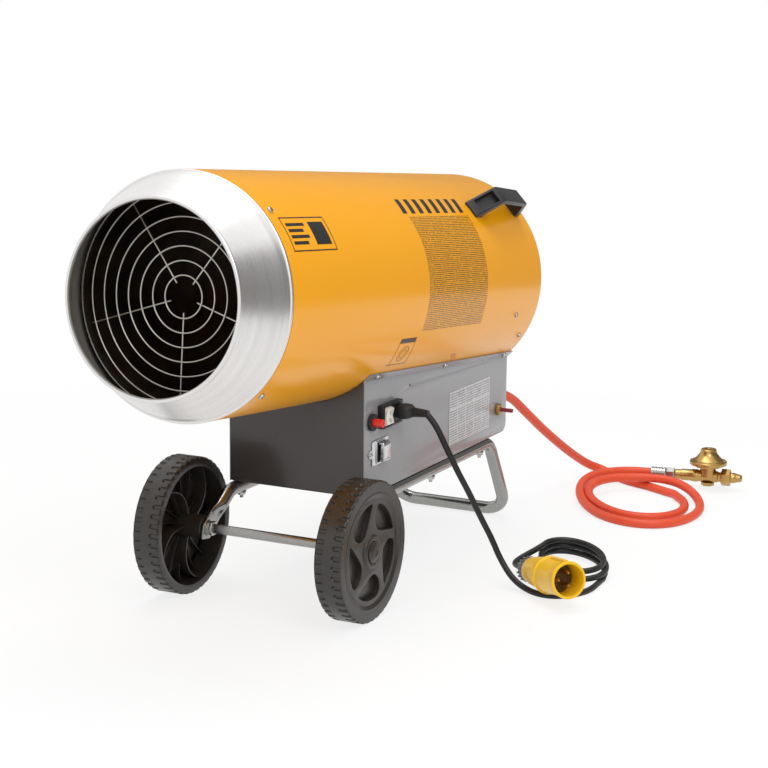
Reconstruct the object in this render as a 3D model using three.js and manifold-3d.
// A gas fired forced air heater on a two-wheeled tube chassis.
// Millimetres, +Z up. X runs along the heater with the hot air outlet at -X,
// the control panel is on the -Y side and the heater stands on z = 0.

import * as THREE from 'three';
import { mergeVertices } from 'three/addons/utils/BufferGeometryUtils.js';
import Module from 'manifold-3d';

const wasm = await Module();
wasm.setup();

const DEG = Math.PI / 180;

// ---------------------------------------------------------------- driving dimensions

// Fits
const seatGap = 0.3;            // between faces that rest on each other
const sheet = 1.5;              // sheet metal of the shell and the base box
const round = 36;               // facets round the shell

// Shell, measured along its own axis from the joint with the outlet cone
const boxBottom = 152.5;
const axisAboveBox = 321.5;     // from the base box's underside to the shell's axis at that joint
const axisHeight = boxBottom + axisAboveBox;
const tilt = 5.4 * DEG;         // the outlet points up by this much
const shellRadius = 164;
const shellLength = 814;
const rearLip = 8;              // turned-in lip round the air inlet

// Outlet cone and its guard
const coneLength = 76;
const coneTaper = 36;           // from the shell's radius to the centre of the rolled lip
const mouthRadius = shellRadius - coneTaper;
const lipRoll = 3;
const beadRadius = 2.6;
const skirtLength = 22;         // part of the cone inside the shell
const guardWire = 1.2;
const guardInnerRing = 28;
const guardRimGap = 9.2;        // the last ring to the chamber's outside
const guardRings = 7;
const guardSpokes = 5;
const guardDepth = 2;

// Burner
const chamberGap = 14;          // all round, to the shell
const chamberRadius = shellRadius - chamberGap;
const chamberFront = -8;
const chamberRear = 430;
const chamberSheet = 1.2;
const chamberBrackets = 3;
const bracketWidth = 18;
const burnerBarWidth = 30;
const nozzleRadius = 11;
const nozzleLength = 72;
const pipeRadius = 4;

// Fan and motor
const motorRadius = 56;
const motorLength = 112;
const motorFront = shellLength - 218;
const shaftRadius = 6;
const fanTipGap = 16;           // to the shell's outside
const fanRadius = shellRadius - fanTipGap;
const fanBlades = 6;
const fanHubRadius = 34;
const fanWidth = 46;
const fanGap = 14;              // motor to fan hub
const inletWire = 1.5;
const inletRings = 5;
const inletInnerRing = 36;
const inletRimGap = 8;          // the last ring to the shell's outside

// Base box
const boxLength = 503;
const boxRear = shellLength - 13;
const boxFront = boxRear - boxLength;
const boxHalfWidth = 110.3;
const panelCorner = 15;
const flangeWidth = 12;

// Chassis
const tubeRadius = 10;
const tubeHalfSpread = 102;
const bendRadius = 38;
const wheelRadius = 100;
const tyreWidth = 41.5;
const wheelInside = 124;        // middle of the heater to the tyre's inner edge
const axleRadius = 7;
const wheelFacets = 24;
const treadNotches = 14;
const treadDepth = 2.5;
const legTopX = boxRear - 49;
const footX = boxRear + 29;
const slopeTopX = boxFront - 14; // where the tube leaves the box towards the axle
const wheelX = slopeTopX - 61.5;

// Screws that show on the shell
const coneScrewX = 15;
const flangeScrewX = [boxFront + 42, boxRear - 235, boxRear - 11];

// Handle, on the shell
const handleLength = 166;
const handleX = shellLength - handleLength - 26;
const handleWidth = 29;
const handleHeight = 39;
const handleAngle = 45.9 * DEG;

// Controls on the panel: places are x and z
const buttonAt = [boxFront + 21, boxBottom + 106.5];
const buttonRadius = 6;
const buttonLength = 20;
const buttonTravel = 5;
const collarRadius = 12.5;
const collarThickness = 6;
const moduleAt = [boxFront + 73, boxBottom + 109.5];
const moduleSize = [64, 34];
const moduleDepth = 9;
const rockerSize = [20, 27];
const rockerDepth = 7;
const socketAt = [boxFront + 47, boxBottom + 59.5];
const socketSize = [50, 36];
const flapSize = [20, 29];
const flapDepth = 8;
const resetAt = [boxRear - 37, boxBottom + 41.5];
const resetRadius = 3.2;
const resetTravel = 4;
const resetLength = 22;
const resetNeck = 6;
const slideGap = 0.4;           // round buttons, switches and axles
const connectorLength = 34;

// Gas hose and its fittings
const hoseRadius = 7.5;
const hoseInlet = [boxRear, -84, boxBottom + 50.5];
const hoseLoopCentre = [1000, -274];
const hoseLoopTurn = 32 * DEG;
const hoseLoopInner = [104, 73];
const hoseLoopGrowth = [46, 26];
const hoseLoopFrom = -75 * DEG;
const hoseLoopSweep = -642 * DEG;
const hoseLift = 15.6;
const hoseTailTurn = 36 * DEG;
const hoseSocket = 24;          // how far the inlet's swage reaches over the hose
const regulatorTurn = 0;

// Mains cord and its plug
const cordRadius = 4.5;
const cordLoopCentre = [584, -318];
const cordLoopTurn = 34 * DEG;
const cordLoopSize = [80, 46];
const cordLoopFrom = -128 * DEG;
const cordLoops = 2.5;
const cordLoopClimb = 9.8;
const plugNutEnd = [485, -283, 25.5];
const plugMouth = [394, -387, 46];
const plugShroudRadius = 26;

// ---------------------------------------------------------------- materials

const paint = (color, roughness, metalness = 0) =>
  new THREE.MeshStandardMaterial({ color, roughness, metalness });
const yellow = paint(0xf7a81b, 0.3);
const greyPaint = paint(0x87888a, 0.45);
const darkPaint = paint(0x4a4848, 0.5);
const brightSheet = paint(0xc9c7c4, 0.3, 1);
const darkSteel = paint(0x2d2a28, 0.6, 0.8);
const zinc = paint(0xc4c8c9, 0.25, 1);
const blackPlastic = paint(0x1d1c1c, 0.5);
const redPlastic = paint(0xd8352b, 0.4);
const darkRed = paint(0x8b2430, 0.4);
const whitePlastic = paint(0xe4e2dc, 0.4);
const brass = paint(0xc2a05a, 0.3, 1);
const copper = paint(0xb87350, 0.35, 1);
const hoseRubber = paint(0xf06a4e, 0.55);
const cordRubber = paint(0x2f2e2e, 0.6);
const plugYellow = paint(0xf2bf17, 0.4);
const greyPlastic = paint(0x8b8e92, 0.5);
const ceramic = paint(0xece7dc, 0.5);

// ---------------------------------------------------------------- solids

// A closed solid from a three.js geometry, turned the right way out
function solid(geometry) {
  const bare = geometry.clone();
  bare.deleteAttribute('normal');
  bare.deleteAttribute('uv');
  const merged = mergeVertices(bare, 1e-4);
  const at = merged.attributes.position;
  const kept = [];
  const a = new THREE.Vector3();
  const b = new THREE.Vector3();
  const c = new THREE.Vector3();
  let volume = 0;
  for (let i = 0; i < merged.index.count; i += 3) {
    const [p, q, r] = [0, 1, 2].map((k) => merged.index.getX(i + k));
    if (p === q || q === r || r === p) continue;
    a.fromBufferAttribute(at, p);
    b.fromBufferAttribute(at, q);
    c.fromBufferAttribute(at, r);
    volume += a.dot(b.cross(c));
    kept.push([p, q, r]);
  }
  const triVerts = kept.flatMap(([p, q, r]) => (volume < 0 ? [p, r, q] : [p, q, r]));
  return new wasm.Manifold(new wasm.Mesh({
    numProp: 3,
    vertProperties: new Float32Array(at.array),
    triVerts: new Uint32Array(triVerts),
  }));
}

function surface(shape) {
  const mesh = shape.getMesh();
  const geometry = new THREE.BufferGeometry();
  geometry.setAttribute('position', new THREE.BufferAttribute(mesh.vertProperties, 3));
  geometry.setIndex(new THREE.BufferAttribute(mesh.triVerts, 1));
  return geometry;
}

const join = (...parts) => surface(parts.map(solid).reduce((all, one) => all.add(one)));
const cut = (whole, ...tools) =>
  surface(tools.map(solid).reduce((left, tool) => left.subtract(tool), solid(whole)));

// ---------------------------------------------------------------- shapes

const v3 = (x, y, z) => new THREE.Vector3(x, y, z);
const v2 = (x, y) => new THREE.Vector2(x, y);

function box(sizeX, sizeY, sizeZ, x = 0, y = 0, z = 0) {
  return new THREE.BoxGeometry(sizeX, sizeY, sizeZ).translate(x, y, z);
}

// A body of revolution round the X axis: the profile is a list of [x, radius]
function turnedX(profile, facets = round) {
  const points = profile.map(([x, radius]) => v2(radius, x));
  if (profile[0][1] > 0) points.push(points[0].clone());
  return new THREE.LatheGeometry(points, facets).rotateX(Math.PI / 2).rotateY(Math.PI / 2);
}

// The same round the Z axis: the profile is a list of [z, radius]
function turnedZ(profile, facets = 24) {
  const points = profile.map(([z, radius]) => v2(radius, z));
  if (profile[0][1] > 0) points.push(points[0].clone());
  return new THREE.LatheGeometry(points, facets).rotateX(Math.PI / 2);
}

// The same round the -Y direction, out of the control panel
const turnedOut = (profile, facets) => turnedZ(profile, facets).rotateX(Math.PI / 2);

const diskX = (x0, x1, radius, facets) =>
  turnedX([[x0, 0], [x0, radius], [x1, radius], [x1, 0]], facets);
const diskZ = (z0, z1, radius, facets) =>
  turnedZ([[z0, 0], [z0, radius], [z1, radius], [z1, 0]], facets);
const diskOut = (y0, y1, radius, facets) => diskZ(y0, y1, radius, facets).rotateX(Math.PI / 2);

function hexZ(z0, z1, acrossFlats) {
  return diskZ(z0, z1, acrossFlats / 2 / Math.cos(30 * DEG), 6);
}

// Extrudes an outline in the XY plane upwards
function slab(outline, height, z = 0) {
  const shape = outline instanceof THREE.Shape ? outline : new THREE.Shape(outline);
  const settings = { depth: height, bevelEnabled: false, curveSegments: 3 };
  return new THREE.ExtrudeGeometry(shape, settings).translate(0, 0, z);
}

// Extrudes an outline given in X and Z sideways, centred on y = 0
function sidewall(outline, width) {
  return slab(outline, width, -width / 2).rotateX(Math.PI / 2);
}

function roundedOutline(sizeX, sizeY, radius) {
  const [x, y] = [sizeX / 2, sizeY / 2];
  const shape = new THREE.Shape();
  shape.moveTo(-x + radius, -y);
  shape.lineTo(x - radius, -y);
  shape.absarc(x - radius, -y + radius, radius, -Math.PI / 2, 0);
  shape.absarc(x - radius, y - radius, radius, 0, Math.PI / 2);
  shape.absarc(-x + radius, y - radius, radius, Math.PI / 2, Math.PI);
  shape.absarc(-x + radius, -y + radius, radius, Math.PI, Math.PI * 1.5);
  return shape;
}

// A path through given points, followed point by point
class Route extends THREE.Curve {
  constructor(points) {
    super();
    this.points = points;
  }

  getPointAt(t) {
    return this.getPoint(t);
  }

  getPoint(t) {
    const place = t * (this.points.length - 1);
    const index = Math.min(Math.floor(place + 1e-6), this.points.length - 2);
    return this.points[index].clone().lerp(this.points[index + 1], place - index);
  }

  getTangentAt(t) {
    const last = this.points.length - 1;
    const index = Math.round(t * last);
    const before = this.points[Math.max(index - 1, 0)];
    const after = this.points[Math.min(index + 1, last)];
    const here = this.points[index];
    const tangent = v3(0, 0, 0);
    if (index > 0) tangent.add(here.clone().sub(before).normalize());
    if (index < last) tangent.add(after.clone().sub(here).normalize());
    return tangent.normalize();
  }
}

function tube(points, radius, sides = 10, turn = 0) {
  const corners = Array.from({ length: sides }, (_, k) => {
    const angle = turn + 2 * Math.PI * k / sides;
    return v2(radius * Math.cos(angle), radius * Math.sin(angle));
  });
  return new THREE.ExtrudeGeometry(new THREE.Shape(corners), {
    steps: points.length - 1,
    extrudePath: new Route(points),
    bevelEnabled: false,
  });
}

// Straight runs between corners, each corner rounded with an arc
function bent(corners, radius, arcSteps = 5) {
  const points = [corners[0]];
  for (let i = 1; i < corners.length - 1; i += 1) {
    const toBefore = corners[i - 1].clone().sub(corners[i]).normalize();
    const toAfter = corners[i + 1].clone().sub(corners[i]).normalize();
    const half = toBefore.angleTo(toAfter) / 2;
    const inward = toBefore.clone().add(toAfter).normalize();
    const centre = corners[i].clone().addScaledVector(inward, radius / Math.sin(half));
    const start = corners[i].clone().addScaledVector(toBefore, radius / Math.tan(half)).sub(centre);
    const axis = toAfter.clone().cross(toBefore).normalize();
    for (let k = 0; k <= arcSteps; k += 1) {
      const turn = (Math.PI - 2 * half) * k / arcSteps;
      points.push(start.clone().applyAxisAngle(axis, turn).add(centre));
    }
  }
  points.push(corners[corners.length - 1]);
  return points;
}

const smooth = (points, steps) =>
  new THREE.CatmullRomCurve3(points, false, 'centripetal').getSpacedPoints(steps);

// Skins closed rings of points into one solid with flat ends
function loft(rings) {
  const count = rings[0].length;
  const corners = rings.flat();
  const faces = [];
  for (let i = 0; i < rings.length - 1; i += 1) {
    for (let k = 0; k < count; k += 1) {
      const [p, q] = [i * count + k, i * count + (k + 1) % count];
      faces.push(p, q, q + count, p, q + count, p + count);
    }
  }
  for (let k = 1; k < count - 1; k += 1) {
    const top = (rings.length - 1) * count;
    faces.push(0, k + 1, k, top, top + k, top + k + 1);
  }
  const geometry = new THREE.BufferGeometry().setFromPoints(corners);
  geometry.setIndex(faces);
  return geometry;
}

// ---------------------------------------------------------------- the scene graph

const heater = new THREE.Group();
const barrel = new THREE.Group();           // the shell and all that follows its tilted axis
barrel.position.z = axisHeight;
barrel.rotation.y = tilt;
heater.add(barrel);

function add(name, geometry, material, parent = heater) {
  const mesh = new THREE.Mesh(surface(solid(geometry)), material);
  mesh.name = name;
  parent.add(mesh);
  return mesh;
}

// A point of the heater, in the barrel's own frame
const inBarrel = (x, y, z) =>
  v3(x, y, z - axisHeight).applyAxisAngle(v3(0, 1, 0), -tilt);

// A frame on the barrel: z points out of the shell, `angle` from the top towards -Y
function onShell(x, angle, radius = shellRadius) {
  const place = new THREE.Group();
  place.position.set(x, -radius * Math.sin(angle), radius * Math.cos(angle));
  place.rotation.x = angle;
  barrel.add(place);
  return place;
}

// A solid of the barrel's frame, moved into the heater's
const fromBarrel = (geometry) => geometry.rotateY(tilt).translate(0, 0, axisHeight);

// ---------------------------------------------------------------- shell and outlet

const flats = Math.cos(Math.PI / round);         // facet middles lie this much further in
const shellInside = shellRadius - sheet;
const shellSeat = shellInside * flats - seatGap; // how far pieces reach out inside the shell
const barX = chamberRear - 22;                  // the bar that carries the burner
const nozzleTip = barX - 30;
const pipeX = nozzleTip + nozzleLength + 64;         // where the gas pipe comes up through the shell
const pipeHoleRadius = pipeRadius + 9;

function shellGeometry() {
  const lip = shellRadius - rearLip;
  const tube = turnedX([
    [seatGap, shellRadius],
    [shellLength - 3, shellRadius],
    [shellLength - 1, shellRadius - 1],
    [shellLength, shellRadius - 3],
    [shellLength, lip],
    [shellLength - sheet, lip],
    [shellLength - sheet, shellInside],
    [seatGap, shellInside],
  ]);
  const pipeHole = new THREE.CylinderGeometry(pipeHoleRadius, pipeHoleRadius, 40, 16);
  pipeHole.rotateX(Math.PI / 2).translate(pipeX, 0, -shellRadius);
  return cut(tube, pipeHole);
}

function coneGeometry() {
  const skirt = shellInside - seatGap;
  const lipX = -coneLength + lipRoll;
  const bead = Array.from({ length: 4 }, (_, k) => {
    const turn = k * 60 * DEG;
    return [-beadRadius + beadRadius * Math.cos(turn), skirt - 0.6 + beadRadius * Math.sin(turn)];
  });
  const lip = Array.from({ length: 5 }, (_, k) => {
    const turn = (60 + k * 67) * DEG;
    return [lipX + lipRoll * Math.cos(turn), mouthRadius + lipRoll * Math.sin(turn)];
  });
  return turnedX([
    [skirtLength, skirt],
    ...bead,
    ...lip,
    [-beadRadius * 2, skirt - 2 * sheet],
    [0, skirt - sheet],
    [skirtLength, skirt - sheet],
  ]);
}

// Concentric wire rings welded on radial spokes
function wireGuard(radii, wire, spokes, spokeFrom, spokeTo, firstAngle) {
  const rings = radii.map((radius) =>
    new THREE.TorusGeometry(radius, wire, 4, radius > 60 ? 17 : 13).rotateY(Math.PI / 2));
  const rods = Array.from({ length: spokes }, (_, k) => {
    const rod = new THREE.CylinderGeometry(wire, wire, spokeTo - spokeFrom, 4);
    rod.translate(0, (spokeFrom + spokeTo) / 2, wire * 1.2);
    return rod.rotateY(Math.PI / 2).rotateX(firstAngle + k * 2 * Math.PI / spokes);
  });
  return join(...rods, ...rings);
}

const chamberInside = chamberRadius - chamberSheet;
const chamberSeat = chamberInside * flats - seatGap;

add('outlet_cone', coneGeometry(), brightSheet, barrel);
const evenRadii = (first, last, count) =>
  Array.from({ length: count }, (_, k) => first + k * (last - first) / (count - 1));
const outletRadii = evenRadii(guardInnerRing, chamberRadius - guardRimGap, guardRings);
add('outlet_guard',
  wireGuard(outletRadii, guardWire, guardSpokes, guardInnerRing - 6, chamberSeat, Math.PI),
  zinc, barrel).position.x = guardDepth;

add('outer_shell', shellGeometry(), yellow, barrel);
add('combustion_chamber',
  turnedX([
    [chamberFront, chamberRadius], [chamberRear, chamberRadius],
    [chamberRear, chamberInside], [chamberFront, chamberInside],
  ]),
  darkSteel, barrel);

// Hat-shaped brackets keep the chamber in the middle of the shell
function bracketGeometry(gap) {
  const [run, foot, plate] = [60, 16, 1.5];
  const outline = [
    v2(-run / 2, 0), v2(-run / 2 + foot, 0), v2(-run / 2 + foot + 4, gap - plate),
    v2(run / 2 - foot - 4, gap - plate), v2(run / 2 - foot, 0), v2(run / 2, 0),
    v2(run / 2, plate), v2(run / 2 - foot + 1, plate), v2(run / 2 - foot - 3, gap),
    v2(-run / 2 + foot + 3, gap), v2(-run / 2 + foot - 1, plate), v2(-run / 2, plate),
  ];
  return sidewall(outline, bracketWidth);
}
const bracketSeat = chamberRadius + seatGap;
for (let k = 0; k < chamberBrackets; k += 1) {
  const place = onShell(110, (60 + k * 120) * DEG, bracketSeat);
  const room = Math.sqrt(shellSeat ** 2 - (bracketWidth / 2) ** 2) - bracketSeat;
  add(`chamber_bracket_${k + 1}`, bracketGeometry(room), darkSteel, place);
}

// ---------------------------------------------------------------- burner

const rodRadius = 3.5;
const rodOffset = 34;

function burnerBarGeometry() {
  const reach = Math.sqrt(chamberSeat ** 2 - (burnerBarWidth / 2) ** 2);
  const bar = box(sheet * 2, burnerBarWidth, 2 * reach, barX + sheet, 0, 0);
  const feet = [1, -1].map((side) => box(20, burnerBarWidth, 2, barX + 10, 0, side * (reach - 1)));
  const nozzleHole = diskX(barX - 5, barX + 10, nozzleRadius + seatGap, 12);
  const rodHoles = [1, -1].map((side) =>
    diskX(barX - 5, barX + 10, rodRadius + seatGap, 8).translate(0, 0, side * rodOffset));
  return cut(join(bar, ...feet), nozzleHole, ...rodHoles);
}

// The flame holder: a punched cup round the nozzle's tip
function flameHolderGeometry() {
  const [small, large, depth] = [26, 78, 70];
  const front = barX - 20 - depth;
  const cup = turnedX([
    [front, large], [front - 4, large + 8], [front - 5, large + 8], [front - 1.5, large - 1.5],
    [front + depth - 1.5, small - 1.5], [front + depth - 1.5, nozzleRadius + seatGap],
    [front + depth, nozzleRadius + seatGap], [front + depth, small],
  ].reverse(), 14);
  const slots = Array.from({ length: 3 }, (_, k) =>
    box(depth * 0.7, 3 * large, 14, front + depth * 0.58).rotateX((30 + k * 60) * DEG));
  return cut(cup, ...slots);
}

function nozzleGeometry() {
  const flange = barX + 2 * sheet + seatGap;
  return turnedX([
    [nozzleTip, 0], [nozzleTip, 5], [nozzleTip + 6, nozzleRadius], [flange, nozzleRadius],
    [flange, nozzleRadius + 6], [flange + 10, nozzleRadius + 6], [flange + 12, nozzleRadius - 1],
    [nozzleTip + nozzleLength, nozzleRadius - 1], [nozzleTip + nozzleLength, 0],
  ], 12);
}

// A stepped rod through the burner bar, with its collar behind the bar
function rodGeometry(front, collar) {
  const back = barX + 2 * sheet + seatGap;
  return turnedX([
    [front, 0], [front, 1.5], [front + 40, 1.5], [front + 40, rodRadius], [back, rodRadius],
    [back, collar], [back + 8, collar], [back + 8, 3], [back + 24, 3], [back + 24, 0],
  ], 8);
}

add('burner_bar', burnerBarGeometry(), darkSteel, barrel);
add('flame_holder', flameHolderGeometry(), darkSteel, barrel);
add('gas_nozzle', nozzleGeometry(), brass, barrel);
add('spark_electrode', rodGeometry(barX - 58, 6), ceramic, barrel).position.z = rodOffset;
add('thermocouple', rodGeometry(barX - 54, 5), copper, barrel).position.z = -rodOffset;

// ---------------------------------------------------------------- fan and motor

const motorRear = motorFront + motorLength;
const fanFront = motorRear + fanGap;

function motorGeometry() {
  const can = turnedX([
    [motorFront, 0], [motorFront, 20], [motorFront + 6, 24], [motorFront + 8, motorRadius - 6],
    [motorFront + 16, motorRadius], [motorRear - 16, motorRadius], [motorRear - 8, motorRadius - 6],
    [motorRear - 6, 20], [motorRear, 18], [motorRear, 0],
  ], 16);
  const shaftBore = diskX(motorRear - 12, motorRear + 5, shaftRadius + seatGap, 12);
  return cut(can, shaftBore);
}

// One twisted, cambered blade: thin in X, long in Z
function bladeGeometry() {
  const [root, thick, chord] = [fanHubRadius - 4, 2.4, 74];
  const span = fanRadius - root;
  const blade = new THREE.BoxGeometry(thick, chord, span, 1, 2, 2);
  const at = blade.attributes.position;
  for (let i = 0; i < at.count; i += 1) {
    const along = at.getZ(i) / span + 0.5;
    const across = at.getY(i) / chord;
    const pitch = (46 - 22 * along) * DEG;
    const width = chord * (0.6 + 0.4 * along);
    const off = at.getX(i) - 8 * (1 - 4 * across * across) * along;
    const drop = fanRadius - Math.sqrt(fanRadius ** 2 - (across * width * Math.cos(pitch)) ** 2);
    at.setXYZ(i,
      off * Math.cos(pitch) + across * width * Math.sin(pitch),
      across * width * Math.cos(pitch) - off * Math.sin(pitch),
      root + along * span - drop * along);
  }
  return blade;
}

function fanGeometry() {
  const hub = turnedX([
    [fanFront, 0], [fanFront, fanHubRadius - 3], [fanFront + 3, fanHubRadius],
    [fanFront + fanWidth - 8, fanHubRadius], [fanFront + fanWidth, fanHubRadius - 12],
    [fanFront + fanWidth, 0],
  ], 24);
  const shaft = diskX(motorRear - 10, fanFront + 4, shaftRadius, 12);
  const blades = Array.from({ length: fanBlades }, (_, k) =>
    bladeGeometry().translate(fanFront + fanWidth / 2, 0, 0).rotateX(k * 2 * Math.PI / fanBlades));
  return join(hub, shaft, ...blades);
}

// A clamping ring round the motor on three arms that are fixed to the shell
function motorMountGeometry() {
  const middle = motorFront + motorLength / 2;
  const ring = turnedX([
    [middle - 14, motorRadius + seatGap], [middle - 14, motorRadius + 3],
    [middle + 14, motorRadius + 3], [middle + 14, motorRadius + seatGap],
  ].reverse(), 16);
  const tip = Math.sqrt(shellSeat ** 2 - 12 ** 2);
  const arms = Array.from({ length: 3 }, (_, k) => {
    const length = tip - motorRadius - 1;
    const arm = box(3, 24, length, middle, 0, motorRadius + 1 + length / 2);
    const foot = box(26, 24, 3, middle, 0, tip - 1.5);
    return join(arm, foot).rotateX((60 + k * 120) * DEG);
  });
  return join(ring, ...arms);
}

add('motor', motorGeometry(), darkPaint, barrel);
add('motor_mount', motorMountGeometry(), zinc, barrel);
const fan = add('fan', fanGeometry(), blackPlastic, barrel);
const inletRadii = evenRadii(inletInnerRing, shellRadius - inletRimGap, inletRings);
add('inlet_guard',
  wireGuard(inletRadii, inletWire, 6, inletInnerRing - 10, shellSeat, 0).rotateY(Math.PI),
  zinc, barrel).position.x = shellLength - sheet - seatGap - inletWire;

// ---------------------------------------------------------------- base box

// What the barrel takes out of the box's walls
const saddle = (clearance) =>
  fromBarrel(diskX(-50, shellLength + 50, shellRadius + clearance));

const aboveFlange = () => {
  const height = 3 * shellRadius;
  const middle = height / 2 - shellRadius / 2;
  return fromBarrel(box(2 * shellLength, 6 * shellRadius, height, shellLength / 2, 0, middle));
};
const innerHalfWidth = boxHalfWidth - sheet - seatGap;
const inletRadius = 8;

function baseBoxGeometry() {
  const [length, wall] = [boxRear - boxFront, axisAboveBox];
  const middle = (boxFront + boxRear) / 2;
  const floor = box(length, 2 * innerHalfWidth, sheet, middle, 0, boxBottom + sheet / 2);
  const front = box(sheet, 2 * innerHalfWidth, wall, boxFront + sheet / 2, 0, boxBottom + wall / 2);
  const rear = box(sheet, 2 * innerHalfWidth, wall, boxRear - sheet / 2, 0, boxBottom + wall / 2);
  const inletHole = diskX(-10, 10, inletRadius + seatGap, 16).translate(...hoseInlet);
  return cut(join(floor, front, rear), saddle(seatGap), aboveFlange(), inletHole);
}

// An outline given in Y and Z, extruded along X from x0
function alongX(outline, length, x0 = 0) {
  const turn = new THREE.Matrix4().makeBasis(v3(0, 1, 0), v3(0, 0, 1), v3(1, 0, 0));
  return slab(outline, length).applyMatrix4(turn).translate(x0, 0, 0);
}

// A side panel with a flange on its top edge that lies along the shell
function panelGeometry(side, ...holes) {
  const corner = panelCorner;
  const outline = new THREE.Shape();
  outline.moveTo(boxFront, boxBottom);
  outline.lineTo(boxRear - corner, boxBottom);
  outline.absarc(boxRear - corner, boxBottom + corner, corner, -Math.PI / 2, 0);
  outline.lineTo(boxRear, axisHeight);
  outline.lineTo(boxFront, axisHeight);
  const plate = sidewall(outline, sheet).translate(0, side * (boxHalfWidth - sheet / 2), 0);
  const inner = shellRadius + seatGap;
  const outer = inner + sheet;
  const first = Math.asin((boxHalfWidth - sheet) / inner);
  const onArc = (radius, share) => {
    const angle = first + share * flangeWidth / outer;
    return v2(side * radius * Math.sin(angle), -radius * Math.cos(angle));
  };
  const shares = [0, 0.4, 0.8, 1.2];
  const strip = [
    ...shares.map((share) => onArc(outer, share)),
    ...shares.map((share) => onArc(inner, share)).reverse(),
  ];
  const foldDrop = Math.sqrt(inner ** 2 - boxHalfWidth ** 2);
  const front = inBarrel(boxFront, 0, axisHeight - foldDrop - boxFront * Math.tan(tilt)).x;
  const rear = inBarrel(boxRear, 0, axisHeight - foldDrop - boxRear * Math.tan(tilt)).x;
  const flange = fromBarrel(alongX(strip, rear - front, front));
  const trimmed = cut(plate, saddle(seatGap), aboveFlange());
  return cut(join(trimmed, flange), ...holes);
}

const panelFace = -boxHalfWidth;
const onPanel = ([x, z], geometry) => geometry.translate(x, panelFace, z);
const throughPanel = (at, radius) => onPanel(at, diskOut(-10, 10, radius, 20));
const neckRadius = buttonRadius + 3;
const moduleNeck = moduleSize.map((side) => side - 8);

add('base_box', baseBoxGeometry(), darkPaint);
add('control_panel', panelGeometry(
  -1,
  throughPanel(buttonAt, neckRadius + seatGap),
  throughPanel(resetAt, resetNeck + seatGap),
  onPanel(moduleAt, box(moduleNeck[0] + 2 * seatGap, 20, moduleNeck[1] + 2 * seatGap)),
), greyPaint);
add('far_panel', panelGeometry(1), greyPaint);

// ---------------------------------------------------------------- controls

function addControl(name, [x, z], geometry, material, out = 0) {
  add(name, geometry, material).position.set(x, panelFace - out, z);
}

// An outline in X and Z, raised out of the panel from `from` to `to`
const raised = (outline, from, to) => slab(outline, to - from, from).rotateX(Math.PI / 2);

addControl('button_collar', buttonAt, turnedOut([
  [seatGap, collarRadius], [collarThickness - 1, collarRadius], [collarThickness, collarRadius - 1],
  [collarThickness, buttonRadius + slideGap], [-12, buttonRadius + slideGap], [-12, neckRadius],
  [seatGap, neckRadius],
], 16), blackPlastic);
addControl('gas_button', buttonAt, turnedOut([
  [-16, 0], [-16, buttonRadius], [buttonLength - 1, buttonRadius], [buttonLength, buttonRadius - 1],
  [buttonLength, buttonRadius - 2.5], [buttonLength - 1.5, buttonRadius - 3], [buttonLength - 1.5, 0],
], 14), redPlastic);

const rockerX = -moduleSize[0] / 2 + rockerSize[0] / 2 + 5;
const rockerPivot = moduleDepth - 3;
const pocketDepth = 9;

function moduleGeometry() {
  const face = raised(roundedOutline(...moduleSize, 2), seatGap, moduleDepth);
  const neck = box(moduleNeck[0], 18, moduleNeck[1], 0, 9 - seatGap - 0.5, 0);
  const pocket = box(rockerSize[0] + 2 * slideGap, 20, rockerSize[1] + 4 * slideGap,
    rockerX, pocketDepth - rockerPivot - 10, 0);
  return cut(join(face, neck), pocket);
}

// The rocker's ends are arcs round its pivot, so that it turns in its pocket
function rockerGeometry() {
  const reach = rockerSize[1] / 2;
  const arc = (from, to) => Array.from({ length: 5 }, (_, k) => {
    const angle = (from + (to - from) * k / 4) * DEG;
    return v2(-reach * Math.sin(angle), reach * Math.cos(angle));
  });
  const outline = [...arc(-14, 40), v2(1 - rockerDepth, 0), ...arc(140, 194)];
  return alongX(outline, rockerSize[0], -rockerSize[0] / 2);
}

addControl('switch_module', moduleAt, moduleGeometry(), blackPlastic);
addControl('rocker_switch', [moduleAt[0] + rockerX, moduleAt[1]], rockerGeometry(), whitePlastic,
  rockerPivot);

const socketPlate = 2;
const socketFrame = 3.5;

function socketGeometry() {
  const plate = raised(roundedOutline(...socketSize, 3), seatGap, socketPlate);
  const ears = raised(roundedOutline(socketSize[0] + 20, 12, 5.9), seatGap, socketPlate - 0.4);
  const frame = raised(roundedOutline(flapSize[0] + 8, flapSize[1] + 4, 2), seatGap, socketFrame);
  return join(plate, ears, frame);
}

function flapGeometry() {
  const [width, height] = flapSize;
  const outline = [
    v2(0, 0), v2(3 - flapDepth, 0), v2(-flapDepth, -3), v2(-flapDepth, 2 - height),
    v2(2 - flapDepth, -height), v2(0, -height),
  ];
  return alongX(outline, width, -width / 2);
}

addControl('socket_plate', socketAt, socketGeometry(), zinc);
addControl('socket_flap', [socketAt[0] + 4, socketAt[1] + flapSize[1] / 2], flapGeometry(), zinc,
  socketFrame + seatGap);

addControl('reset_nut', resetAt, join(
  cut(hexZ(seatGap, 7, 17), diskZ(-1, 8, resetRadius + slideGap, 12)).rotateX(Math.PI / 2),
  turnedOut([[2, resetNeck], [2, resetRadius + slideGap], [-14, resetRadius + slideGap],
    [-14, resetNeck]], 12),
), brass);
addControl('reset_button', resetAt, turnedOut([
  [-18, 0], [-18, resetRadius], [resetLength - 1, resetRadius], [resetLength, resetRadius - 1],
  [resetLength, 0],
], 12), darkRed);

// ---------------------------------------------------------------- gas valve and pipe

const valveSize = [62, 44, 46];
const valveAt = [resetAt[0] - 14, -52, boxBottom + sheet + seatGap + valveSize[2] / 2];

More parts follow.
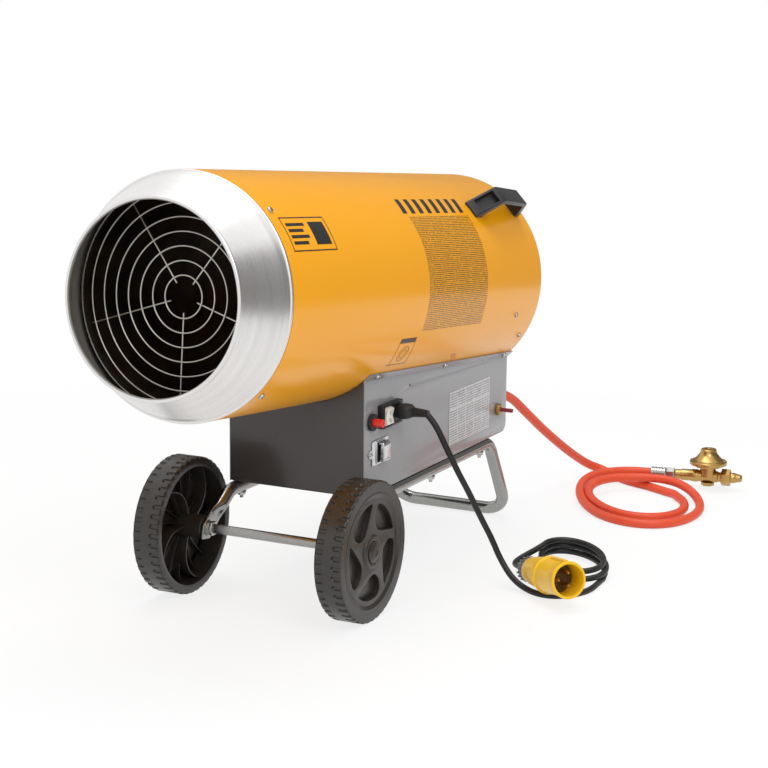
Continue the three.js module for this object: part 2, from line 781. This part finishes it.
function valveGeometry() {
  const body = box(...valveSize);
  const coil = diskZ(valveSize[2] / 2 - 1, valveSize[2] / 2 + 24, 15, 16).translate(12, 6, 0);
  return join(body, coil);
}
add('gas_valve', valveGeometry(), brass).position.set(...valveAt);

// From the valve through the shell to the back end of the nozzle
function pipeGeometry() {
  const leave = inBarrel(valveAt[0] - valveSize[0] / 2 - seatGap, valveAt[1], valveAt[2] + 8);
  const run = inBarrel(pipeX + 20, valveAt[1], valveAt[2] + 8);
  const nozzleEnd = nozzleTip + nozzleLength + seatGap;
  const corners = [
    leave, v3(pipeX, run.y, run.z), v3(pipeX, 0, run.z), v3(pipeX, 0, 0), v3(nozzleEnd, 0, 0),
  ];
  return tube(bent(corners, 20, 4), pipeRadius, 6);
}
add('gas_pipe', pipeGeometry(), copper, barrel);

// The inlet passes through the box's rear wall and carries the hose's swaged end
function inletGeometry() {
  const [inside, wall] = [30, sheet + seatGap];
  return join(
    hexZ(seatGap, 8, 22),
    diskZ(-inside, 2, inletRadius, 16),
    turnedZ([
      [7, 0], [7, 9.5], [9, 10], [hoseSocket - 2, 10], [hoseSocket, 9.5], [hoseSocket, 0],
    ], 12),
    hexZ(-wall - 6, -wall, 22),
  ).rotateY(Math.PI / 2);
}
add('gas_inlet', inletGeometry(), brass).position.set(...hoseInlet);

// ---------------------------------------------------------------- chassis

const tubeZ = boxBottom - tubeRadius - seatGap;
const axleZ = wheelRadius;
const chassisSides = 8;
const flatThickness = 5;
const footZ = tubeRadius * Math.cos(Math.PI / chassisSides);   // a facet lies on the ground
const flatWidth = 28;

function chassisGeometry() {
  const slope = v3(wheelX - slopeTopX, 0, axleZ - tubeZ).normalize();
  const side = (sign) => {
    const axleEnd = v3(wheelX, sign * tubeHalfSpread, axleZ);
    return {
      axleEnd,
      neck: axleEnd.clone().addScaledVector(slope, -36),
      slopeTop: v3(slopeTopX, sign * tubeHalfSpread, tubeZ),
      legTop: v3(legTopX, sign * tubeHalfSpread, tubeZ),
      foot: v3(footX, sign * tubeHalfSpread, footZ),
    };
  };
  const [near, far] = [side(-1), side(1)];
  const facetDown = Math.atan2(footX - legTopX, tubeZ - footZ) - Math.PI / chassisSides;
  const loop = tube(bent([
    near.neck, near.slopeTop, near.legTop, near.foot,
    far.foot, far.legTop, far.slopeTop, far.neck,
  ], bendRadius, 4), tubeRadius, chassisSides, facetDown);
  const ends = [near, far].map(({ axleEnd }) => {
    const turn = Math.atan2(slope.z, slope.x);
    const outline = [
      v2(-40, -tubeRadius), v2(-18, -flatWidth / 2), v2(8, -flatWidth / 2), v2(22, 0),
      v2(8, flatWidth / 2), v2(-18, flatWidth / 2), v2(-40, tubeRadius),
    ];
    const squash = loft([0, 1, 2].map((step) => Array.from({ length: chassisSides }, (_, k) => {
      const angle = 2 * Math.PI * k / chassisSides;
      const across = [tubeRadius, tubeRadius + 1, flatWidth / 2 - 1][step] - 0.1;
      const thick = [tubeRadius, tubeRadius * 0.6, flatThickness / 2][step] - 0.1;
      return v3([-38, -28, -19][step], thick * Math.cos(angle), across * Math.sin(angle));
    })));
    const plate = cut(sidewall(outline, flatThickness), diskOut(-20, 20, axleRadius + seatGap, 16));
    return join(plate, squash).rotateY(-turn).translate(...axleEnd);
  });
  return join(loop, ...ends);
}
add('chassis_tube', chassisGeometry(), zinc);

const capDepth = 4;
const axleEndY = wheelInside + tyreWidth - 3;
add('axle', diskOut(-axleEndY, axleEndY, axleRadius, 20), zinc).position.set(wheelX, 0, axleZ);

// ---------------------------------------------------------------- wheels

// Built lying down: z = 0 is the tyre's inner edge and the outer face is on top
const polar = (radius, angle) => v2(radius * Math.cos(angle), radius * Math.sin(angle));

// One row of the tread: a ring with notches cut across its edge
function treadRow(start, bottom, top) {
  const pitch = 2 * Math.PI / treadNotches;
  const floor = wheelRadius - treadDepth;
  const outline = Array.from({ length: treadNotches }, (_, k) => [
    polar(wheelRadius, start + k * pitch),
    polar(wheelRadius, start + (k + 0.66) * pitch),
    polar(floor, start + (k + 0.72) * pitch),
    polar(floor, start + (k + 0.94) * pitch),
  ]).flat();
  return slab(outline, top - bottom, bottom);
}

// The curved drop shaped openings of the outer face, and the ribs behind it
function wheelOpening(turn, bottom) {
  const shape = new THREE.Shape();
  const at = (radius, degrees) => polar(radius, turn + degrees * DEG).toArray();
  shape.moveTo(...at(68, -20));
  shape.absarc(0, 0, 68, turn - 20 * DEG, turn + 24 * DEG);
  shape.quadraticCurveTo(...at(52, 38), ...at(31, 34));
  shape.quadraticCurveTo(...at(24, 18), ...at(34, 6));
  shape.quadraticCurveTo(...at(50, -2), ...at(68, -20));
  return slab(shape, 20, bottom);
}

function wheelRib(turn, from, to, height, bottom) {
  const edge = (thick) => [0, 0.5, 1].map((share) => {
    const radius = from + share * (to - from);
    return polar(radius, turn + (60 - 34 * share * share) * DEG + thick / radius);
  });
  return slab([...edge(0), ...edge(2.4).reverse()], height, bottom);
}

function wheelGeometry() {
  const [rim, hub, treadInside] = [84, 17, wheelRadius - treadDepth - 4];
  const [face, back] = [tyreWidth - 2.5, tyreWidth - 7];
  const hubInside = tubeHalfSpread + flatThickness / 2 + 0.6 - wheelInside;
  const bore = axleRadius + slideGap;
  const middle = tyreWidth / 2;
  const body = turnedZ([
    [hubInside, bore], [hubInside, hub], [back, hub], [back, rim], [1, rim + 2],
    [1, treadInside + 1], [tyreWidth - 1, treadInside + 1], [tyreWidth - 1, 80], [face, 77],
    [face, 23], [tyreWidth, 21], [tyreWidth, 16], [tyreWidth - 5, 16], [tyreWidth - 5, bore],
  ], wheelFacets);
  const pitch = 2 * Math.PI / treadNotches;
  const rows = join(treadRow(0, 0, middle), treadRow(pitch / 2, middle, tyreWidth));
  const tread = cut(rows, diskZ(-1, tyreWidth + 1, treadInside, wheelFacets));
  const turns = Array.from({ length: 5 }, (_, k) => k * 72 * DEG);
  const openings = turns.map((turn) => wheelOpening(turn, back - 5));
  const ribs = turns.map((turn) => wheelRib(turn, hub - 1, rim + 3, back - 5, 6));
  return join(cut(body, ...openings), tread, ...ribs);
}

function capGeometry() {
  const end = axleEndY - wheelInside;
  return turnedZ([
    [tyreWidth - 5 + seatGap, axleRadius + seatGap], [tyreWidth - 5 + seatGap, 15.6],
    [tyreWidth + 1, 15.6], [tyreWidth + capDepth, 11], [tyreWidth + capDepth, 0],
    [end + seatGap, 0], [end + seatGap, axleRadius + seatGap],
  ].reverse(), 16);
}

for (const [side, turn] of [['near', Math.PI / 2], ['far', -Math.PI / 2]]) {
  const place = new THREE.Group();
  place.position.set(wheelX, side === 'near' ? -wheelInside : wheelInside, axleZ);
  place.rotation.x = turn;
  heater.add(place);
  add(`wheel_${side}`, wheelGeometry(), blackPlastic, place);
  add(`hub_cap_${side}`, capGeometry(), blackPlastic, place);
}

// ---------------------------------------------------------------- handle

function handleGeometry() {
  const [length, top] = [handleLength, handleHeight];
  const outer = [
    v2(0, -6), v2(0, 3), v2(44, top - 2), v2(50, top), v2(length - 20, top - 8),
    v2(length - 15, top - 11), v2(length - 1, 3), v2(length, -6),
  ];
  const finger = [
    v2(20, -8), v2(20, 4), v2(52, top - 8), v2(length - 26, top - 15), v2(length - 16, 4),
    v2(length - 16, -8),
  ];
  const bar = cut(sidewall(outer, handleWidth), sidewall(finger, handleWidth + 2));
  const pitch = Math.atan2(top - 5, 44);
  const ramp = box(34, handleWidth - 10, 10).translate(0, 0, 5 - 3.6);
  const pocket = ramp.rotateY(-pitch).translate(25, 0, 3 + 25 * Math.tan(pitch));
  const seat = diskX(-50, length + 50, (shellRadius + seatGap) / flats);
  return cut(bar, pocket, seat.translate(0, 0, -shellRadius));
}
add('carrying_handle', handleGeometry(), blackPlastic, onShell(handleX, handleAngle));

// ---------------------------------------------------------------- screws

// The pan head of a screw: z = 0 is the face that it holds down
function screwGeometry() {
  return turnedZ([[seatGap, 0], [seatGap, 4.5], [1.6, 4.5], [3, 3.2], [3.4, 0]], 8);
}
const coneScrewAngles = [44, 136, 224, 316];
coneScrewAngles.forEach((degrees, k) => {
  const place = onShell(coneScrewX, degrees * DEG);
  add(`cone_screw_${k + 1}`, screwGeometry(), zinc, place);
});
const flangeMiddle = Math.PI - Math.asin((boxHalfWidth + flangeWidth * 0.35) / shellRadius);
flangeScrewX.forEach((x, k) => {
  const place = onShell(x, flangeMiddle, shellRadius + seatGap + sheet);
  add(`panel_screw_${k + 1}`, screwGeometry(), zinc, place);
});

// ---------------------------------------------------------------- hose and cord helpers

// Prints how near a wound tube comes to itself, past one and a half turns of its own width
function reportLeastGap(name, points, radius) {
  let least = Infinity;
  const run = points.map((point, i) => (i ? point.distanceTo(points[i - 1]) : 0));
  for (let i = 0; i < points.length; i += 1) {
    let along = 0;
    for (let j = i + 1; j < points.length; j += 1) {
      along += run[j];
      if (along > 8 * radius) least = Math.min(least, points[i].distanceTo(points[j]));
    }
  }
  console.log(`${name}: least gap to itself ${(least - 2 * radius).toFixed(2)} mm`);
}

const directionAtStart = (points) => points[1].clone().sub(points[0]).normalize();
const directionAtEnd = (points) =>
  points[points.length - 1].clone().sub(points[points.length - 2]).normalize();
const past = (point, direction, distance) => point.clone().addScaledVector(direction, distance);

// A cord laid through chosen points, with a straight end of `straight` at both ends
function laid(start, out, points, end, onward, straight, steps) {
  const first = past(start, out, straight);
  const last = past(end, onward, -straight);
  return [start, ...smooth([first, ...points, last], steps), end];
}

// A frame at the end of a hose or cord: its z axis carries on along the cord
function frameAt(point, direction, gap = seatGap) {
  const place = new THREE.Group();
  place.position.copy(point).addScaledVector(direction, gap);
  const upward = v3(0, 0, 1).addScaledVector(direction, -direction.z).normalize();
  const across = direction.clone().cross(upward);
  place.setRotationFromMatrix(new THREE.Matrix4().makeBasis(upward, across, direction));
  heater.add(place);
  return place;
}

// A point of a loop that lies on the ground, on an ellipse turned about its centre
function loopPoint([x, y], turn, [long, short], angle, z) {
  const point = v3(long * Math.cos(angle), short * Math.sin(angle), z);
  return point.applyAxisAngle(v3(0, 0, 1), turn).add(v3(x, y, 0));
}

// ---------------------------------------------------------------- gas hose

// The second loop lies outside the first, and both ride over the incoming stretch
const ease = (share, from, to) => {
  const at = Math.min(Math.max((share - from) / (to - from), 0), 1);
  return 0.5 - 0.5 * Math.cos(Math.PI * at);
};
const hoseSteps = 44;
const hoseLoops = Array.from({ length: hoseSteps + 1 }, (_, k) => {
  const share = k / hoseSteps;
  const angle = hoseLoopFrom + share * hoseLoopSweep;
  const size = [
    hoseLoopInner[0] + hoseLoopGrowth[0] * ease(share, 0.42, 0.8),
    hoseLoopInner[1] + hoseLoopGrowth[1] * ease(share, 0.1, 0.56),
  ];
  const lift = hoseLift * Math.max(ease(share, 0.2, 0.42) - ease(share, 0.5, 0.62), ease(share, 0.8, 0.96));
  return loopPoint(hoseLoopCentre, hoseLoopTurn, size, angle, hoseRadius + lift);
});
// The end of the hose turns in towards its fittings
const tailSteps = 4;
for (let k = 1; k <= tailSteps; k += 1) {
  const heading = directionAtEnd(hoseLoops).setZ(0).normalize();
  heading.applyAxisAngle(v3(0, 0, 1), -hoseTailTurn / tailSteps);
  hoseLoops.push(past(hoseLoops[hoseLoops.length - 1], heading, hoseRadius * 1.4));
}
hoseLoops.push(past(hoseLoops[hoseLoops.length - 1], directionAtEnd(hoseLoops), 2 * hoseRadius));
const hoseStart = v3(...hoseInlet).add(v3(hoseSocket + seatGap, 0, 0));
const hoseJoint = directionAtStart(hoseLoops);
const hoseRoute = laid(hoseStart, v3(1, 0, 0), [
  v3(880, -87, 187), v3(930, -92, 155), v3(1001, -99, 109), v3(1095, -112, 52),
  v3(1150, -124, 22), v3(1166, -144, 11), v3(1148, -172, hoseRadius + 0.4),
  v3(1122, -208, hoseRadius + 0.2), v3(1106, -248, hoseRadius),
], past(hoseLoops[0], hoseJoint, -seatGap), hoseJoint, 2 * hoseRadius, 24);

add('gas_hose', tube(hoseRoute, hoseRadius, 10), hoseRubber);
add('gas_hose_coil', tube(hoseLoops, hoseRadius, 6), hoseRubber);
reportLeastGap('gas_hose_coil', hoseLoops, hoseRadius);

const fittings = frameAt(hoseLoops[hoseLoops.length - 1], directionAtEnd(hoseLoops));
const ferruleLength = 26;
const hoseNutLength = 15;
const stemLength = 34;
const regulatorLength = 46;
const cylinderNutLength = 24;

function placeOn(group, name, geometry, material, at, turn = 0) {
  const mesh = add(name, geometry, material, group);
  mesh.position.z = at;
  mesh.rotation.z = turn;
}

placeOn(fittings, 'hose_ferrule', turnedZ([
  [0, 0], [0, 8.8], [6, 8.8], [7, 8], [11, 8], [12, 8.8], [17, 8.8], [18, 6], [ferruleLength, 6],
  [ferruleLength, 0],
], 14), zinc, 0);
placeOn(fittings, 'hose_nut', hexZ(0, hoseNutLength, 19), zinc, ferruleLength + seatGap);

const regulatorAt = ferruleLength + hoseNutLength + 2 * seatGap;
function regulatorGeometry() {
  const stem = turnedZ([
    [0, 0], [0, 8.5], [5, 8.5], [6, 6], [stemLength, 6], [stemLength + 4, 10],
    [stemLength + regulatorLength - 8, 10], [stemLength + regulatorLength, 7.5],
    [stemLength + regulatorLength, 0],
  ], 16);
  const boss = diskZ(6, 17, 14, 16).rotateY(Math.PI / 2);
  return join(stem, boss.translate(0, 0, stemLength + regulatorLength / 2));
}
placeOn(fittings, 'regulator_body', regulatorGeometry(), brass, regulatorAt, regulatorTurn);

// The diaphragm housing: two pressed halves with a crimped rim and a bonnet for the spring
function bonnetGeometry() {
  const base = 17 + seatGap;
  return turnedZ([
    [base, 0], [base, 22], [base + 5, 30], [base + 6, 32], [base + 9, 32], [base + 10, 30],
    [base + 15, 24], [base + 20, 14], [base + 30, 13], [base + 32, 11], [base + 32, 0],
  ], 16).rotateY(Math.PI / 2);
}
placeOn(fittings, 'regulator_bonnet', bonnetGeometry(), brass,
  regulatorAt + stemLength + regulatorLength / 2, regulatorTurn);

placeOn(fittings, 'cylinder_nut', join(
  hexZ(0, cylinderNutLength - 8, 26),
  turnedZ([[10, 0], [10, 9], [cylinderNutLength, 9], [cylinderNutLength + 4, 7.5],
    [cylinderNutLength + 12, 4], [cylinderNutLength + 12, 0]], 16),
), brass, regulatorAt + stemLength + regulatorLength + seatGap);

// ---------------------------------------------------------------- mains cord and plug

const connectorAt = [moduleAt[0] + 17, moduleAt[1] + 2];
function connectorGeometry() {
  const section = (width, height, roundness, out) => Array.from({ length: 16 }, (_, k) => {
    const angle = 2 * Math.PI * (k + 0.5) / 16;
    const corner = (value) => Math.sign(value) * Math.abs(value) ** roundness;
    return v3(width / 2 * corner(Math.cos(angle)), height / 2 * corner(Math.sin(angle)), out);
  });
  return loft([
    section(24, 17, 0.35, 0), section(26, 20, 0.35, 5), section(26, 20, 0.4, 16),
    section(20, 17, 0.6, 21), section(14, 14, 1, 24), section(12, 12, 1, connectorLength),
  ]).rotateX(Math.PI / 2);
}
addControl('mains_connector', connectorAt, connectorGeometry(), blackPlastic,
  moduleDepth + seatGap);

const cordStart = v3(
  connectorAt[0], panelFace - moduleDepth - 2 * seatGap - connectorLength, connectorAt[1]);
const cordLoop = Array.from({ length: 24 * cordLoops + 1 }, (_, k) => {
  const turns = k / 24;
  const size = cordLoopSize.map((side) => side * (1 + 0.05 * Math.sin(turns * 2.2)));
  return loopPoint(cordLoopCentre, cordLoopTurn, size, cordLoopFrom + turns * 2 * Math.PI,
    cordRadius + turns * cordLoopClimb);
});
const cordJoint = directionAtStart(cordLoop);
const cordRoute = laid(cordStart, v3(0, -1, 0), [
  v3(390, -176, 250), v3(395, -194, 214), v3(407, -206, 180), v3(424, -217, 145),
  v3(444, -227, 106), v3(459, -238, 72), v3(462, -252, 42), v3(456, -272, 20),
  v3(447, -294, 9.5), v3(437, -322, 5.5), v3(441, -348, cordRadius),
  v3(460, -368, cordRadius), v3(490, -380, cordRadius),
], past(cordLoop[0], cordJoint, -seatGap), cordJoint, 2 * cordRadius, 36);
add('power_cord', tube(cordRoute, cordRadius, 8), cordRubber);
add('power_cord_coil', tube(cordLoop, cordRadius, 6), cordRubber);
reportLeastGap('power_cord_coil', cordLoop, cordRadius);

const plugAxis = v3(...plugMouth).sub(v3(...plugNutEnd)).normalize();
const plug = frameAt(v3(...plugNutEnd), plugAxis, 0);
const capNutLength = 24;
const plugBodyLength = 52;
const shroudLength = v3(...plugMouth).distanceTo(v3(...plugNutEnd)) - capNutLength - plugBodyLength;

const cordLoopEnd = cordLoop[cordLoop.length - 1];
const tailStart = past(cordLoopEnd, directionAtEnd(cordLoop), seatGap);
const tailEnd = past(v3(...plugNutEnd), plugAxis, -seatGap);
const tailRoute = laid(tailStart, directionAtEnd(cordLoop), [
  past(tailEnd, plugAxis, -38).add(v3(12, 4, 0)),
], tailEnd, plugAxis, 2 * cordRadius, 9);
add('power_cord_tail', tube(tailRoute, cordRadius, 8), cordRubber);

placeOn(plug, 'plug_cap_nut', turnedZ([
  [0, 0], [0, 13], [3, 16], [6, 18.5], [capNutLength, 19.5], [capNutLength, 0],
], 16), greyPlastic, 0);
placeOn(plug, 'plug_body', turnedZ([
  [0, 0], [0, 20], [3, 22], [plugBodyLength - 12, 23.5], [plugBodyLength, plugShroudRadius - 1],
  [plugBodyLength, 0],
], 20), plugYellow, capNutLength + seatGap);
placeOn(plug, 'plug_shroud', turnedZ([
  [0, 12], [0, plugShroudRadius + 2], [4, plugShroudRadius + 2], [7, plugShroudRadius],
  [shroudLength, plugShroudRadius - 1], [shroudLength, plugShroudRadius - 3.5],
  [4, plugShroudRadius - 3.5], [4, 12],
].reverse(), 20), plugYellow, capNutLength + plugBodyLength + 2 * seatGap);

// The insert carries three pins inside the shroud
function insertGeometry() {
  const pins = [90, 210, 330].map((degrees) => diskZ(4, shroudLength - 8, degrees === 90 ? 3 : 2.5, 8)
    .translate(10.5 * Math.cos(degrees * DEG), 10.5 * Math.sin(degrees * DEG), 0));
  const disc = turnedZ([[seatGap, 0], [seatGap, 11.6], [4.4, 11.6], [4.4, 18], [7, 18], [7, 0]], 20);
  return join(disc, ...pins);
}
placeOn(plug, 'plug_insert', insertGeometry(), darkPaint,
  capNutLength + plugBodyLength + 2 * seatGap);

// ---------------------------------------------------------------- origin

// The origin is on the ground, under the middle of the heater without its hose and cord
const onCords = /hose|cord|plug|regulator|cylinder|connector/;
const bounds = new THREE.Box3();
heater.updateMatrixWorld(true);
heater.traverse((node) => {
  if (node.isMesh && !onCords.test(node.name)) bounds.expandByObject(node, true);
});
heater.position.x = -(bounds.min.x + bounds.max.x) / 2;
const model = new THREE.Group().add(heater);

export default model;
